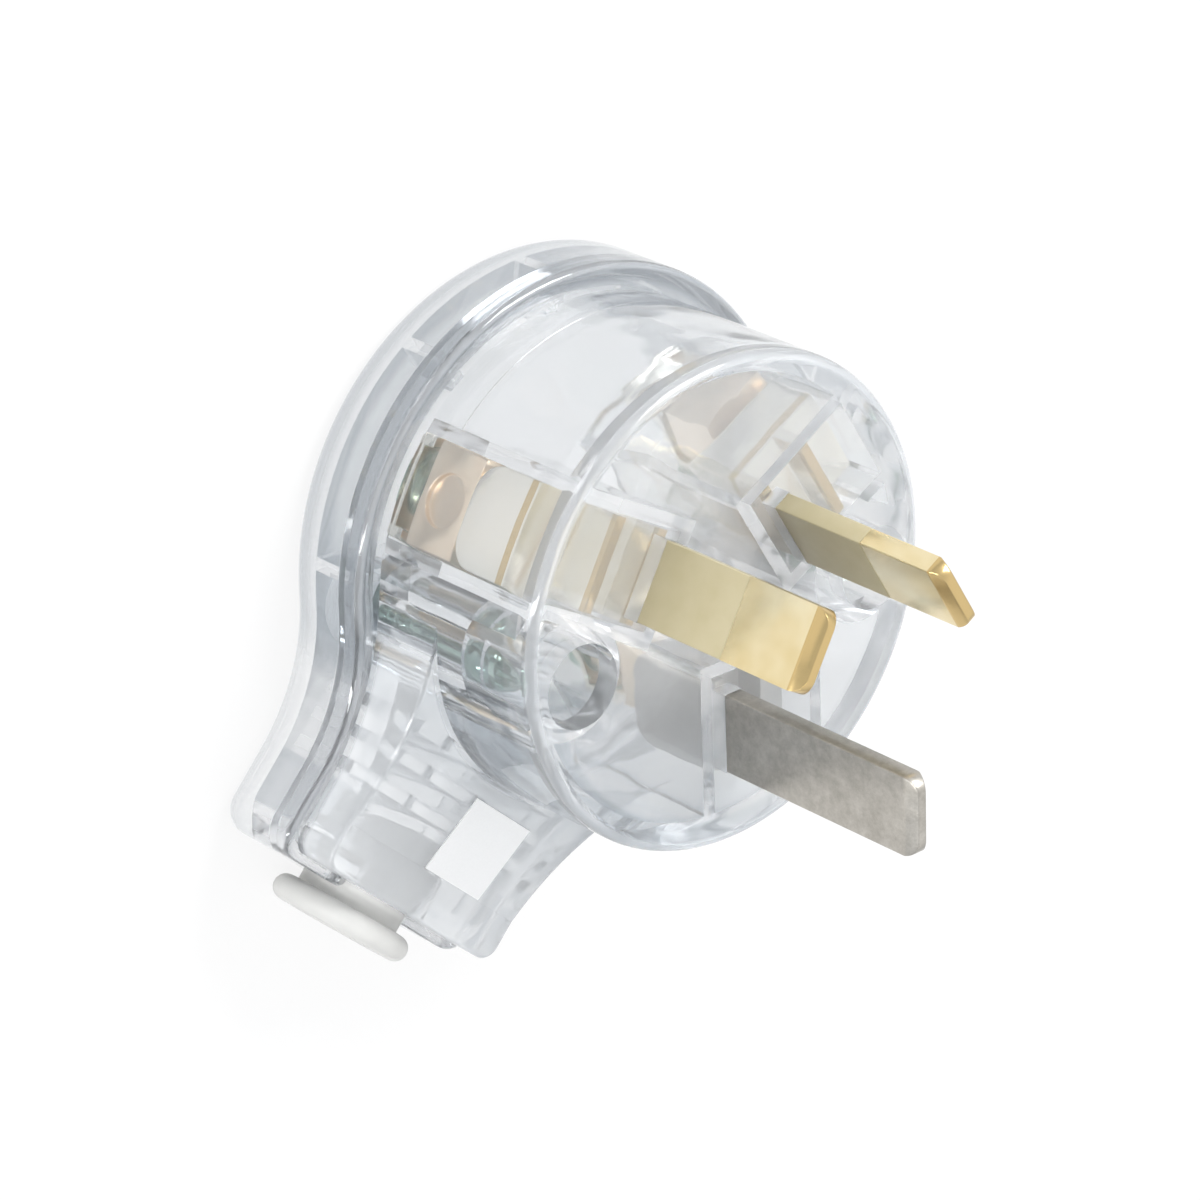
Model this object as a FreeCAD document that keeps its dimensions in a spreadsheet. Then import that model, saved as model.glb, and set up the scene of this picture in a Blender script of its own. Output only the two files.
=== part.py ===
import FreeCAD, Part
import math
import os

import Sketcher
from FreeCAD import Vector

# Type I plug, rewirable, side entry, in clear plastic.
# Frame: the flat back face lies on z = 0 around the origin, the pins point up (+Z),
# the cord leaves towards -Y. The origin is on the axis of the pin circle.

SIZES = [
    ("flange_radius", 21.5, "round flange of both shells, outer radius"),
    ("tail_half", 11.3, "half width of the cord tail"),
    ("tail_reach", 10.4, "end face of the tail, beyond the round flange"),
    ("tail_blend", 15.7, "hollow arc between flange and tail"),
    ("tail_corner", 2.2, "corner of the tail's end face, in plan"),
    ("seam_height", 5.8, "joint between back cover and base, also the cord axis"),
    ("back_round", 1.7, "rounding of the back edge"),
    ("cover_floor", 2.0, "floor of the back cover"),
    ("cover_wall", 2.0, "side wall of the back cover"),
    ("seam_gap", 0.04, "clearance between the two shells at the seam"),
    ("lip_height", 1.0, "locating lip that rises from the cover's wall"),
    ("lip_gap", 0.1, "clearance round the lip"),
    ("rim_wall", 1.2, "base rim outside the lip"),
    ("flange_thick", 2.2, "base flange, from the seam up"),
    ("flange_round", 0.6, "rounding of the flange's front edge"),
    ("rim_step", 2.1, "barrel's side, in from the flange's rim"),
    ("barrel_wall", 2.0, "barrel wall"),
    ("body_depth", 25.0, "back face to pin face"),
    ("face_thick", 2.8, "wall that carries the pins"),
    ("face_round", 1.0, "rounding of the pin face's rim"),
    ("neck_step", 1.1, "raised tail's flank, in from the tail's flank"),
    ("neck_setback", 0.7, "end of the raised tail, in from the tail's end face"),
    ("neck_blend", 23.4, "hollow arc between barrel and raised tail"),
    ("neck_corner", 1.4, "corner of the raised tail, in plan"),
    ("neck_height", 12.0, "back face to the top of the raised tail"),
    ("neck_round", 0.3, "rounding of the raised tail's top edge"),
    ("ramp_foot", 1.09, "start of the flank's straight part to the foot of the rise"),
    ("ramp_rise", 0.184, "rise of the tail's top towards the barrel, per length"),
    ("neck_roof", 1.8, "roof of the raised tail"),
    ("neck_wall", 1.9, "side walls of the raised tail"),
    ("earth_turn", 43.0, "angle from the cord to the earth pin"),
    ("line_circle", 7.92, "centre of the face to the active and neutral pins"),
    ("line_swing", 120.0, "angle from the earth pin to each of them"),
    ("earth_circle", 10.31, "centre of the face to the earth pin"),
    ("blade_width", 6.35, "pin blade, width"),
    ("blade_thick", 1.6, "pin blade, thickness"),
    ("line_reach", 17.0, "active and neutral pins beyond the face"),
    ("earth_reach", 20.0, "earth pin beyond the face"),
    ("tip_bevel", 1.1, "bevel of a pin's tip, along the pin"),
    ("tip_inset", 0.42, "bevel of a pin's tip, off each broad face"),
    ("tip_corner", 1.3, "rounded corners of a pin's tip"),
    ("slot_gap", 0.04, "clearance round a pin in the face"),
    ("sleeve_reach", 8.8, "insulated length beyond the face"),
    ("sleeve_wall", 0.35, "insulation round a pin"),
    ("shank_width", 7.4, "brass inside the plug, width"),
    ("shank_sheet", 0.9, "web under a blade, and the leaf beside it"),
    ("shank_clear", 0.93, "shank to the inside of the barrel"),
    ("shank_bottom", 13.6, "back face to the underside of the shank"),
    ("shank_corner", 2.0, "round lower corners of the shank"),
    ("shank_drop", 2.6, "top of the shank to the inside of the face"),
    ("shoulder_gap", 0.1, "web and leaf to the inside of the face"),
    ("leaf_stand", 3.6, "leaf beside the web, face to face"),
    ("block_height", 5.0, "terminal block"),
    ("block_depth", 6.0, "terminal block, across its flat"),
    ("block_dimple", 1.9, "round recess in the block's outer face"),
    ("dimple_depth", 0.5, "depth of that recess"),
    ("spigot_radius", 1.2, "staked spigot that holds the shank on the block"),
    ("spigot_height", 1.1, "length of that spigot"),
    ("wire_gap", 1.6, "open space for the wire under the clamp plate"),
    ("clamp_thick", 0.8, "clamp plate"),
    ("clamp_lip", 0.9, "turned-up edges of the clamp plate"),
    ("thread_radius", 1.5, "terminal screw"),
    ("thread_gap", 0.05, "clearance of a screw in its hole"),
    ("thread_depth", 4.0, "terminal screw in the block"),
    ("head_radius", 2.6, "terminal screw head"),
    ("head_height", 1.7, "terminal screw head"),
    ("head_flat", 2.1, "terminal screws, radius of the head's flat end"),
    ("head_bevel", 0.6, "terminal screws, bevel round that end"),
    ("thread_tip", 1.0, "terminal screws, radius of the tip"),
    ("thread_taper", 0.5, "terminal screws, length of the tapered tip"),
    ("slot_depth", 0.85, "terminal screws, depth of the slot"),
    ("head_slot", 0.7, "width of the slot in the head"),
    ("screw_swing", 96.8, "angle from the earth pin to each of them, less 180"),
    ("screw_radius", 1.5, "assembly screw, thread"),
    ("screw_seat", 16.2, "back face to the seat of the screw head"),
    ("tip_space", 0.6, "open space under the screw's tip"),
    ("screw_head", 2.7, "assembly screw head, radius"),
    ("screw_crown", 2.1, "assembly screw head, height"),
    ("screw_point", 0.5, "assembly screws, radius of the blunt tip"),
    ("screw_taper", 1.5, "assembly screws, length of the tapered tip"),
    ("screw_edge", 0.9, "assembly screws, straight edge of the head"),
    ("screw_shoulder", 2.3, "assembly screws, radius half way up the dome"),
    ("screw_flat", 1.6, "assembly screws, radius of the flat top"),
    ("cross_reach", 1.5, "assembly screws, reach of the cross"),
    ("cross_width", 0.7, "arms of the cross recess"),
    ("cross_depth", 1.1, "depth of the cross recess"),
    ("head_cover", 0.2, "top of a screw's head to the step in its well"),
    ("head_gap", 0.3, "clearance round a screw's head in its well"),
    ("well_step", 0.3, "step from there to the screwdriver's hole"),
    ("well_wall", 1.5, "wall round the screwdriver's hole"),
    ("shaft_gap", 0.3, "clearance of the screw's shank in its pillar"),
    ("stud_radius", 4.2, "screw pillar in the cover"),
    ("chamber_half", 3.9, "terminal chamber, half width"),
    ("chamber_inset", 1.72, "chamber's inner side, in from the pin's middle"),
    ("rib_thick", 1.1, "walls of the terminal chambers"),
    ("rib_bottom", 7.1, "back face to the lower edge of the chamber walls"),
    ("rib_root", 0.6, "how far the chamber walls run into the barrel's wall"),
    ("earth_rib_gap", 1.4, "end of the earth chamber's free wall to the barrel's inside"),
    ("chamber_gap", 0.4, "open space round the earth pin's shank"),
    ("cord_radius", 3.5, "bore for the cord"),
    ("grommet_wall", 0.7, "wall of the grommet in the end wall"),
    ("grommet_gap", 0.06, "clearance of the grommet in the shells"),
    ("disc_step", 1.5, "outer disc of the grommet, beyond its neck"),
    ("disc_stand", 0.8, "end face to the disc"),
    ("disc_thick", 2.0, "outer disc of the grommet"),
    ("disc_round", 0.7, "rounding of the disc"),
    ("collar_step", 0.6, "collar behind the end wall, beyond the grommet's neck"),
    ("collar_gap", 0.1, "clearance of the collar in the tail's round channel"),
    ("collar_thick", 1.6, "that collar"),
    ("grommet_tube", 2.6, "inner tube of the grommet, length"),
    ("tube_gap", 0.84, "inner tube of the grommet to the first grip rib"),
    ("channel_lead", 1.0, "round channel, inward of the last grip rib"),
    ("grip_radius", 3.5, "cord grip ribs, opening"),
    ("grip_thick", 1.0, "cord grip ribs"),
    ("grip_pitch", 2.6, "spacing of the cord grip ribs"),
    ("wall_rib", 1.0, "stiffening ribs inside the cover's wall"),
    ("wall_rib_reach", 3.0, "how far those ribs stand in from the wall"),
    ("label_width", 6.6, "blank label on the raised tail"),
    ("label_length", 6.5, "blank label, along the cord"),
    ("label_thick", 0.12, "blank label"),
    ("label_aside", 2.2, "label's middle, beside the cord axis"),
    ("label_gap", 0.1, "label's outer edge to the foot of the tail's rise"),
]

SHEET = "Sizes"
CORD_SIDE = -90.0
GRIP_COUNT = 3
WALL_RIBS = (12.0, 57.0, 102.0, 132.0, 165.0, 216.0, 324.0)
OVERLAP = 0.2


class Size:
    """A length or an angle: its number now, and the sheet expression that keeps it."""

    def __init__(self, number, text=None):
        self.number = float(number)
        self.text = text if text is not None else f"({self.number!r})"

    def __add__(self, other):
        other = as_size(other)
        return Size(self.number + other.number, f"({self.text} + {other.text})")

    def __radd__(self, other):
        return as_size(other) + self

    def __sub__(self, other):
        other = as_size(other)
        return Size(self.number - other.number, f"({self.text} - {other.text})")

    def __rsub__(self, other):
        return as_size(other) - self

    def __mul__(self, other):
        other = as_size(other)
        return Size(self.number * other.number, f"({self.text} * {other.text})")

    def __rmul__(self, other):
        return as_size(other) * self

    def __truediv__(self, other):
        other = as_size(other)
        return Size(self.number / other.number, f"({self.text} / {other.text})")

    def __neg__(self):
        return Size(-self.number, f"(0 - {self.text})")


def as_size(value):
    return value if isinstance(value, Size) else Size(value)


def cosine(angle):
    return Size(math.cos(math.radians(angle.number)), f"cos({angle.text})")


def sine(angle):
    return Size(math.sin(math.radians(angle.number)), f"sin({angle.text})")


def square_root(value):
    return Size(math.sqrt(value.number), f"sqrt({value.text})")


def slope_angle(rise):
    return Size(math.degrees(math.atan(rise.number)), f"atan({rise.text})")


def flank_start(radius, half, blend):
    """How far down the cord's side the hollow arc of a keyhole outline turns straight."""
    across = half + blend
    reach = radius + blend
    return square_root(reach * reach - across * across)


class Sheet:
    """The driving sizes: one spreadsheet row each, read back as attributes."""

    def __init__(self, document):
        table = document.addObject("Spreadsheet::Sheet", SHEET)
        for row, (alias, value, note) in enumerate(SIZES, start=1):
            table.set(f"A{row}", alias)
            table.set(f"B{row}", str(value))
            table.setAlias(f"B{row}", alias)
            table.set(f"C{row}", note)
            setattr(self, alias, Size(value, f"{SHEET}.{alias}"))
        document.recompute()


doc = FreeCAD.newDocument("TypeIPlug")
s = Sheet(doc)

# Outlines of the shells, from the round flange inward and outward.
tail_length = s.flange_radius + s.tail_reach
barrel_radius = s.flange_radius - s.rim_step
barrel_inside = barrel_radius - s.barrel_wall
neck_half = s.tail_half - s.neck_step
neck_length = tail_length - s.neck_setback
ramp_start = flank_start(barrel_radius, neck_half, s.neck_blend) + s.ramp_foot
ramp_end = barrel_radius + OVERLAP
ramp_height = s.neck_height + (ramp_start + ramp_end) * s.ramp_rise

# Heights and turns that several pieces share.
flange_top = s.seam_height + s.flange_thick
cover_top = s.seam_height - s.seam_gap
face_inside = s.body_depth - s.face_thick
shoulder = face_inside - s.shoulder_gap
sleeve_top = s.body_depth + s.sleeve_reach
block_bottom = s.shank_bottom - s.block_height
clamp_top = block_bottom - s.wire_gap
clamp_bottom = clamp_top - s.clamp_thick
chamber_start = s.line_circle - s.chamber_inset
shank_depth = barrel_inside - s.line_circle + s.shank_sheet / 2 - s.shank_clear
block_start = shank_depth - s.shank_sheet / 2 - s.block_depth
screw_axis = block_start + s.block_depth / 2
earth_angle = s.earth_turn + CORD_SIDE
line_angles = {
    "active": earth_angle + s.line_swing,
    "neutral": earth_angle - s.line_swing,
}
screw_angles = {
    "right": earth_angle + 180 - s.screw_swing,
    "left": earth_angle + 180 + s.screw_swing,
}

# Screw pillars, which touch the barrel's side from within, and the stepped wells in them.
seat_radius = s.screw_head + s.head_gap
access_radius = seat_radius + s.well_step
boss_radius = access_radius + s.well_wall
screw_circle = barrel_radius - boss_radius
screw_top = s.screw_seat + s.screw_crown
screw_end = s.cover_floor + s.tip_space
well_floor = screw_top + s.head_cover

# The grommet and its place in the tail, counted from the end wall inward.
grommet_neck = s.cord_radius + s.grommet_wall
collar_radius = grommet_neck + s.collar_step
channel_radius = collar_radius + s.collar_gap
end_wall = neck_length - s.neck_wall
collar_end = end_wall - s.grommet_gap
collar_start = collar_end - s.collar_thick
tube_end = collar_start - s.grommet_tube
last_rib = tube_end - s.tube_gap
first_rib = last_rib - s.grip_thick - (GRIP_COUNT - 1) * s.grip_pitch
channel_end = first_rib - s.channel_lead


def bind(item, prop, length):
    item.setExpression(prop, as_size(length).text)


def stand(item, angle, radius, turn=None):
    """Place a piece: out along an angle from the axis, then turned about Z."""
    bind(item, "Placement.Base.x", radius * cosine(angle))
    bind(item, "Placement.Base.y", radius * sine(angle))
    bind(item, "Placement.Rotation.Angle", angle if turn is None else turn)


def new_body(label):
    body = doc.addObject("PartDesign::Body", label)
    body.Label = label
    return body


def new_sketch(body, name, height=0.0, turn=0.0, plane="XY_Plane", shift=(0.0, 0.0)):
    """A sketch on one of the body's own planes, raised and turned in that plane."""
    sketch = body.newObject("Sketcher::SketchObject", name)
    support = [item for item in body.Origin.OriginFeatures if item.Role == plane][0]
    sketch.AttachmentSupport = [(support, "")]
    sketch.MapMode = "FlatFace"
    bind(sketch, "AttachmentOffset.Base.x", shift[0])
    bind(sketch, "AttachmentOffset.Base.y", shift[1])
    bind(sketch, "AttachmentOffset.Base.z", height)
    bind(sketch, "AttachmentOffset.Rotation.Angle", turn)
    return sketch


def hold(sketch, kind, value, *where):
    """A dimension in a sketch, tied to the sheet."""
    value = as_size(value)
    index = sketch.addConstraint(Sketcher.Constraint(kind, *where, value.number))
    sketch.setExpression(f"Constraints[{index}]", value.text)


def polygon(sketch, corners):
    """A closed outline of straight lines; each corner is held from the origin."""
    corners = [(as_size(x), as_size(y)) for x, y in corners]
    points = [Vector(x.number, y.number, 0) for x, y in corners]
    lines = [
        sketch.addGeometry(Part.LineSegment(point, points[(i + 1) % len(points)]))
        for i, point in enumerate(points)
    ]
    for i, line in enumerate(lines):
        follower = lines[(i + 1) % len(lines)]
        sketch.addConstraint(Sketcher.Constraint("Coincident", line, 2, follower, 1))
        hold(sketch, "DistanceX", corners[i][0], -1, 1, line, 1)
        hold(sketch, "DistanceY", corners[i][1], -1, 1, line, 1)


def rectangle(sketch, left, right, low, high):
    polygon(sketch, [(left, low), (right, low), (right, high), (left, high)])


def circle(sketch, radius, x=0.0, y=0.0):
    x, y, radius = as_size(x), as_size(y), as_size(radius)
    centre = Vector(x.number, y.number, 0)
    ring = sketch.addGeometry(Part.Circle(centre, Vector(0, 0, 1), radius.number))
    hold(sketch, "Radius", radius, ring)
    hold(sketch, "DistanceX", x, -1, 1, ring, 3)
    hold(sketch, "DistanceY", y, -1, 1, ring, 3)


def arc(sketch, centre, radius, start, end):
    """An arc that runs anticlockwise between two directions given as vectors."""
    begin = math.atan2(start[1], start[0])
    finish = math.atan2(end[1], end[0])
    ring = Part.Circle(Vector(centre[0], centre[1], 0), Vector(0, 0, 1), radius)
    return sketch.addGeometry(Part.ArcOfCircle(ring, begin, finish))


def keyhole(sketch, radius, half, length, blend, corner):
    """The plug's plan: a round body, hollow flanks and a square-ended tail.

    The hollow arc touches the circle and the tail's straight side, so its centre
    lies at radius + blend from the axis and at half + blend beside it.
    """
    side = half.number + blend.number
    drop = math.sqrt((radius.number + blend.number) ** 2 - side**2)
    end = length.number
    edge = half.number
    turn = corner.number
    big = arc(sketch, (0, 0), radius.number, (side, -drop), (-side, -drop))
    left_blend = arc(sketch, (-side, -drop), blend.number, (1, 0), (side, drop))
    left_side = sketch.addGeometry(
        Part.LineSegment(Vector(-edge, -drop, 0), Vector(-edge, turn - end, 0))
    )
    left_turn = arc(sketch, (turn - edge, turn - end), turn, (-1, 0), (0, -1))
    base = sketch.addGeometry(
        Part.LineSegment(Vector(turn - edge, -end, 0), Vector(edge - turn, -end, 0))
    )
    right_turn = arc(sketch, (edge - turn, turn - end), turn, (0, -1), (1, 0))
    right_side = sketch.addGeometry(
        Part.LineSegment(Vector(edge, turn - end, 0), Vector(edge, -drop, 0))
    )
    right_blend = arc(sketch, (side, -drop), blend.number, (-side, drop), (-1, 0))
    joints = [
        (big, 2, left_blend, 2),
        (left_blend, 1, left_side, 1),
        (left_side, 2, left_turn, 1),
        (left_turn, 2, base, 1),
        (base, 2, right_turn, 1),
        (right_turn, 2, right_side, 1),
        (right_side, 2, right_blend, 2),
        (right_blend, 1, big, 1),
    ]
    for joint in joints:
        sketch.addConstraint(Sketcher.Constraint("Tangent", *joint))
    sketch.addConstraint(Sketcher.Constraint("Coincident", big, 3, -1, 1))
    sketch.addConstraint(Sketcher.Constraint("Vertical", left_side))
    sketch.addConstraint(Sketcher.Constraint("Vertical", right_side))
    sketch.addConstraint(Sketcher.Constraint("Horizontal", base))
    hold(sketch, "Radius", radius, big)
    for flank in (left_blend, right_blend):
        hold(sketch, "Radius", blend, flank)
    for turned in (left_turn, right_turn):
        hold(sketch, "Radius", corner, turned)
    hold(sketch, "DistanceX", -half, -1, 1, left_side, 1)
    hold(sketch, "DistanceX", half, -1, 1, right_side, 1)
    hold(sketch, "DistanceY", -length, -1, 1, base, 1)


def flange_plan(sketch, inset=0.0):
    """The flange's outline, drawn in by a wall's thickness where asked."""
    keyhole(
        sketch,
        s.flange_radius - inset,
        s.tail_half - inset,
        tail_length - inset,
        s.tail_blend + inset,
        s.tail_corner if inset == 0.0 else s.tail_corner - inset / 2,
    )


def neck_plan(sketch, inset=0.0):
    """The outline of barrel and raised tail, drawn in by a wall where asked."""
    keyhole(
        sketch,
        barrel_radius - inset,
        neck_half - inset,
        neck_length - inset,
        s.neck_blend + inset,
        s.neck_corner if inset == 0.0 else s.neck_corner - inset / 4,
    )


def feature(body, kind, name, sketch, length, up):
    item = body.newObject(f"PartDesign::{kind}", name)
    item.Profile = sketch
    bind(item, "Length", length)
    item.Reversed = up if kind == "Pocket" else not up
    sketch.Visibility = False
    return item


def pad(body, name, sketch, length, up=True):
    return feature(body, "Pad", name, sketch, length, up)


def pocket(body, name, sketch, length, up=False):
    return feature(body, "Pocket", name, sketch, length, up)


def revolve(body, name, sketch, axis, cut=False):
    kind = "Groove" if cut else "Revolution"
    item = body.newObject(f"PartDesign::{kind}", name)
    item.Profile = sketch
    item.ReferenceAxis = (sketch, [axis])
    return item


def level_edges(shape, height):
    """Names of the edges that lie flat at a height."""
    names = []
    for index, edge in enumerate(shape.Edges, start=1):
        levels = [vertex.Z for vertex in edge.Vertexes] + [edge.CenterOfMass.z]
        if all(abs(level - height) < 1e-4 for level in levels):
            names.append(f"Edge{index}")
    return names


def soften(body, name, base, names, radius):
    doc.recompute()
    item = body.newObject("PartDesign::Fillet", name)
    item.Base = (base, names(base.Shape))
    bind(item, "Radius", radius)
    return item


def idle_steps(body):
    """Pads that add nothing and pockets that cut nothing."""
    signs = {"PartDesign::Pad": 1, "PartDesign::Pocket": -1}
    steps = [item for item in body.Group if item.isDerivedFrom("PartDesign::Feature")]
    for before, after in zip(steps, steps[1:]):
        change = after.Shape.Volume - before.Shape.Volume
        if change * signs.get(after.TypeId, 0) < 0 or abs(change) < 1e-3:
            yield f"{body.Label}: {after.Label} changes the volume by {change:.3f} mm3"


def neck_rim(shape):
    """The upper edges of the raised tail, without the creases that run across it."""
    names = []
    for index, edge in enumerate(shape.Edges, start=1):
        upper = all(vertex.Z > s.neck_height.number - 1e-4 for vertex in edge.Vertexes)
        ends = [vertex.Y for vertex in edge.Vertexes]
        beside_end = edge.CenterOfMass.y > -ramp_start.number - 1e-4
        crosses = abs(ends[0] - ends[-1]) < 1e-4 and beside_end
        if upper and not crosses:
            names.append(f"Edge{index}")
    return names


def screw_places():
    for side, angle in screw_angles.items():
        yield side, angle, screw_circle * cosine(angle), screw_circle * sine(angle)


def cross_ribs(body, bottom, height):
    """Ribs across the tail that grip the cord."""
    for index in range(GRIP_COUNT):
        near = -(first_rib + index * s.grip_pitch)
        sketch = new_sketch(body, f"GripPlan{index + 1}", height=bottom)
        half = neck_half - s.neck_wall + OVERLAP
        rectangle(sketch, -half, half, near - s.grip_thick, near)
        pad(body, f"Grip{index + 1}", sketch, height)


def cord_way(body):
    """One turned cut along the cord: end wall, collar space, then the grip ribs."""
    hole = grommet_neck + s.grommet_gap
    beyond = -(tail_length + OVERLAP)
    way = new_sketch(body, "CordProfile", plane="YZ_Plane", shift=(0.0, s.seam_height))
    polygon(way, [
        (beyond, 0.0),
        (beyond, hole),
        (-end_wall, hole),
        (-end_wall, channel_radius),
        (-last_rib, channel_radius),
        (-last_rib, s.grip_radius),
        (-channel_end, s.grip_radius),
        (-channel_end, 0.0),
    ])
    revolve(body, "CordWay", way, "H_Axis", cut=True)


def chamber_walls(body):
    """Walls round each terminal: a box for each line pin, three walls for the earth."""
    height = face_inside + OVERLAP - s.rib_bottom
    reach = s.chamber_half + s.rib_thick
    root = barrel_inside + s.rib_root
    for name, angle in line_angles.items():
        box = new_sketch(body, f"WallPlan_{name}", s.rib_bottom, turn=angle)
        rectangle(box, chamber_start - s.rib_thick, root, -reach, reach)
        pad(body, f"Walls_{name}", box, height)
    near = s.earth_circle - s.shank_width / 2 - s.chamber_gap
    left = -(s.shank_sheet / 2 + s.chamber_gap)
    right = shank_depth - s.shank_sheet / 2 + s.chamber_gap
    walls = (
        (near, root, left - s.rib_thick, left),
        (near - s.rib_thick, near, left - s.rib_thick, right + s.rib_thick),
        (near, barrel_inside - s.earth_rib_gap, right, right + s.rib_thick),
    )
    for index, (inner, outer, low, high) in enumerate(walls, start=1):
        plan = new_sketch(body, f"EarthWallPlan{index}", s.rib_bottom, turn=earth_angle)
        rectangle(plan, inner, outer, low, high)
        pad(body, f"EarthWall{index}", plan, height)


def base_housing():
    """The clear base: flange, barrel, raised tail, chambers, pillars and pin slots."""
    body = new_body("base_housing")
    flange = new_sketch(body, "FlangePlan", s.seam_height)
    flange_plan(flange)
    plate = pad(body, "Flange", flange, s.flange_thick)
    top = flange_top.number
    soften(body, "FlangeEdge", plate, lambda shape: level_edges(shape, top), s.flange_round)
    neck = new_sketch(body, "NeckPlan", s.seam_height)
    neck_plan(neck)
    pad(body, "RaisedTail", neck, ramp_height - s.seam_height)
    rise = new_sketch(body, "RampProfile", s.flange_radius, plane="YZ_Plane")
    beyond = -(neck_length + OVERLAP)
    above = ramp_height + OVERLAP
    polygon(rise, [
        (ramp_end, ramp_height),
        (ramp_end, above),
        (beyond, above),
        (beyond, s.neck_height),
        (-ramp_start, s.neck_height),
    ])
    ramp = pocket(body, "Ramp", rise, s.flange_radius * 2)
    soften(body, "NeckEdge", ramp, neck_rim, s.neck_round)
    round_body = new_sketch(body, "BarrelPlan", s.seam_height)
    circle(round_body, barrel_radius)
    barrel = pad(body, "Barrel", round_body, s.body_depth - s.seam_height)
    face = s.body_depth.number
    soften(body, "FaceEdge", barrel, lambda shape: level_edges(shape, face), s.face_round)

    groove = new_sketch(body, "GroovePlan", s.seam_height)
    flange_plan(groove, s.rim_wall)
    pocket(body, "LipGroove", groove, s.lip_height + s.lip_gap, up=True)
    hollow_neck = new_sketch(body, "NeckHollowPlan", s.seam_height)
    neck_plan(hollow_neck, s.neck_wall)
    pocket(body, "NeckHollow", hollow_neck, s.neck_height - s.neck_roof - s.seam_height, up=True)
    hollow = new_sketch(body, "HollowPlan", s.seam_height)
    circle(hollow, barrel_inside)
    pocket(body, "BarrelHollow", hollow, face_inside - s.seam_height, up=True)

    for side, angle, x, y in screw_places():
        pillar = new_sketch(body, f"PillarPlan_{side}", s.seam_height)
        circle(pillar, boss_radius, x, y)
        pad(body, f"Pillar_{side}", pillar, face_inside + OVERLAP - s.seam_height)
    chamber_walls(body)
    cross_ribs(body, s.seam_height, s.neck_height - s.neck_roof + OVERLAP - s.seam_height)

    for name, angle in line_angles.items():
        chamber = new_sketch(body, f"ChamberPlan_{name}", s.seam_height, turn=angle)
        outer = barrel_inside - s.rib_thick / 2
        rectangle(chamber, chamber_start, outer, -s.chamber_half, s.chamber_half)
        pocket(body, f"Chamber_{name}", chamber, face_inside - s.seam_height, up=True)
    slot_half = s.blade_width / 2 + s.slot_gap
    slot_thin = s.blade_thick / 2 + s.slot_gap
    for name, angle in line_angles.items():
        slot = new_sketch(body, f"SlotPlan_{name}", s.body_depth, turn=angle)
        rectangle(slot, s.line_circle - slot_thin, s.line_circle + slot_thin, -slot_half, slot_half)
        pocket(body, f"Slot_{name}", slot, s.face_thick + OVERLAP)
    slot = new_sketch(body, "SlotPlan_earth", s.body_depth, turn=earth_angle)
    rectangle(slot, s.earth_circle - slot_half, s.earth_circle + slot_half, -slot_thin, slot_thin)
    pocket(body, "Slot_earth", slot, s.face_thick + OVERLAP)
    for side, angle, x, y in screw_places():
        well = new_sketch(body, f"WellPlan_{side}", s.body_depth)
        circle(well, access_radius, x, y)
        pocket(body, f"Well_{side}", well, s.body_depth - well_floor)
        seat = new_sketch(body, f"SeatPlan_{side}", well_floor)
        circle(seat, seat_radius, x, y)
        pocket(body, f"Seat_{side}", seat, well_floor - s.screw_seat)
        shaft = new_sketch(body, f"ShaftPlan_{side}", s.screw_seat)
        circle(shaft, s.screw_radius + s.shaft_gap, x, y)
        pocket(body, f"Shaft_{side}", shaft, s.screw_seat - s.seam_height)
    cord_way(body)
    return body


def back_cover():
    """The clear back: rounded tray with a lip, screw pillars and cord ribs."""
    body = new_body("back_cover")
    plan = new_sketch(body, "CoverPlan")
    flange_plan(plan)
    block = pad(body, "Cover", plan, cover_top)
    soften(body, "BackEdge", block, lambda shape: level_edges(shape, 0.0), s.back_round)
    inside = new_sketch(body, "InsidePlan", s.seam_height)
    flange_plan(inside, s.cover_wall)
    pocket(body, "Inside", inside, s.seam_height - s.cover_floor)
    lip = new_sketch(body, "LipPlan", s.seam_height - OVERLAP)
    flange_plan(lip, s.rim_wall + s.lip_gap)
    flange_plan(lip, s.cover_wall)
    pad(body, "Lip", lip, s.lip_height + OVERLAP)

    floor = s.cover_floor - OVERLAP
    for side, angle, x, y in screw_places():
        pillar = new_sketch(body, f"StudPlan_{side}", floor)
        circle(pillar, s.stud_radius, x, y)
        pad(body, f"Stud_{side}", pillar, cover_top - floor)
    wall = s.flange_radius - s.cover_wall
    for index, degrees in enumerate(WALL_RIBS, start=1):
        rib = new_sketch(body, f"WallRibPlan{index}", floor, turn=degrees)
        rectangle(rib, wall - s.wall_rib_reach, wall + OVERLAP, -s.wall_rib / 2, s.wall_rib / 2)
        pad(body, f"WallRib{index}", rib, cover_top - floor)
    cross_ribs(body, floor, cover_top - floor)
    for side, angle, x, y in screw_places():
        pilot = new_sketch(body, f"PilotPlan_{side}", s.seam_height)
        circle(pilot, s.screw_radius + s.thread_gap, x, y)
        pocket(body, f"Pilot_{side}", pilot, s.seam_height - s.cover_floor)
    cord_way(body)
    return body


def corner_edges(shape, top, width):
    """The short edges across a blade's thickness at its end."""
    names = []
    for index, edge in enumerate(shape.Edges, start=1):
        centre = edge.CenterOfMass
        at_top = abs(centre.z - top) < 1e-4
        if at_top and abs(abs(centre.y) - width / 2) < 1e-4:
            names.append(f"Edge{index}")
    return names


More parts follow.
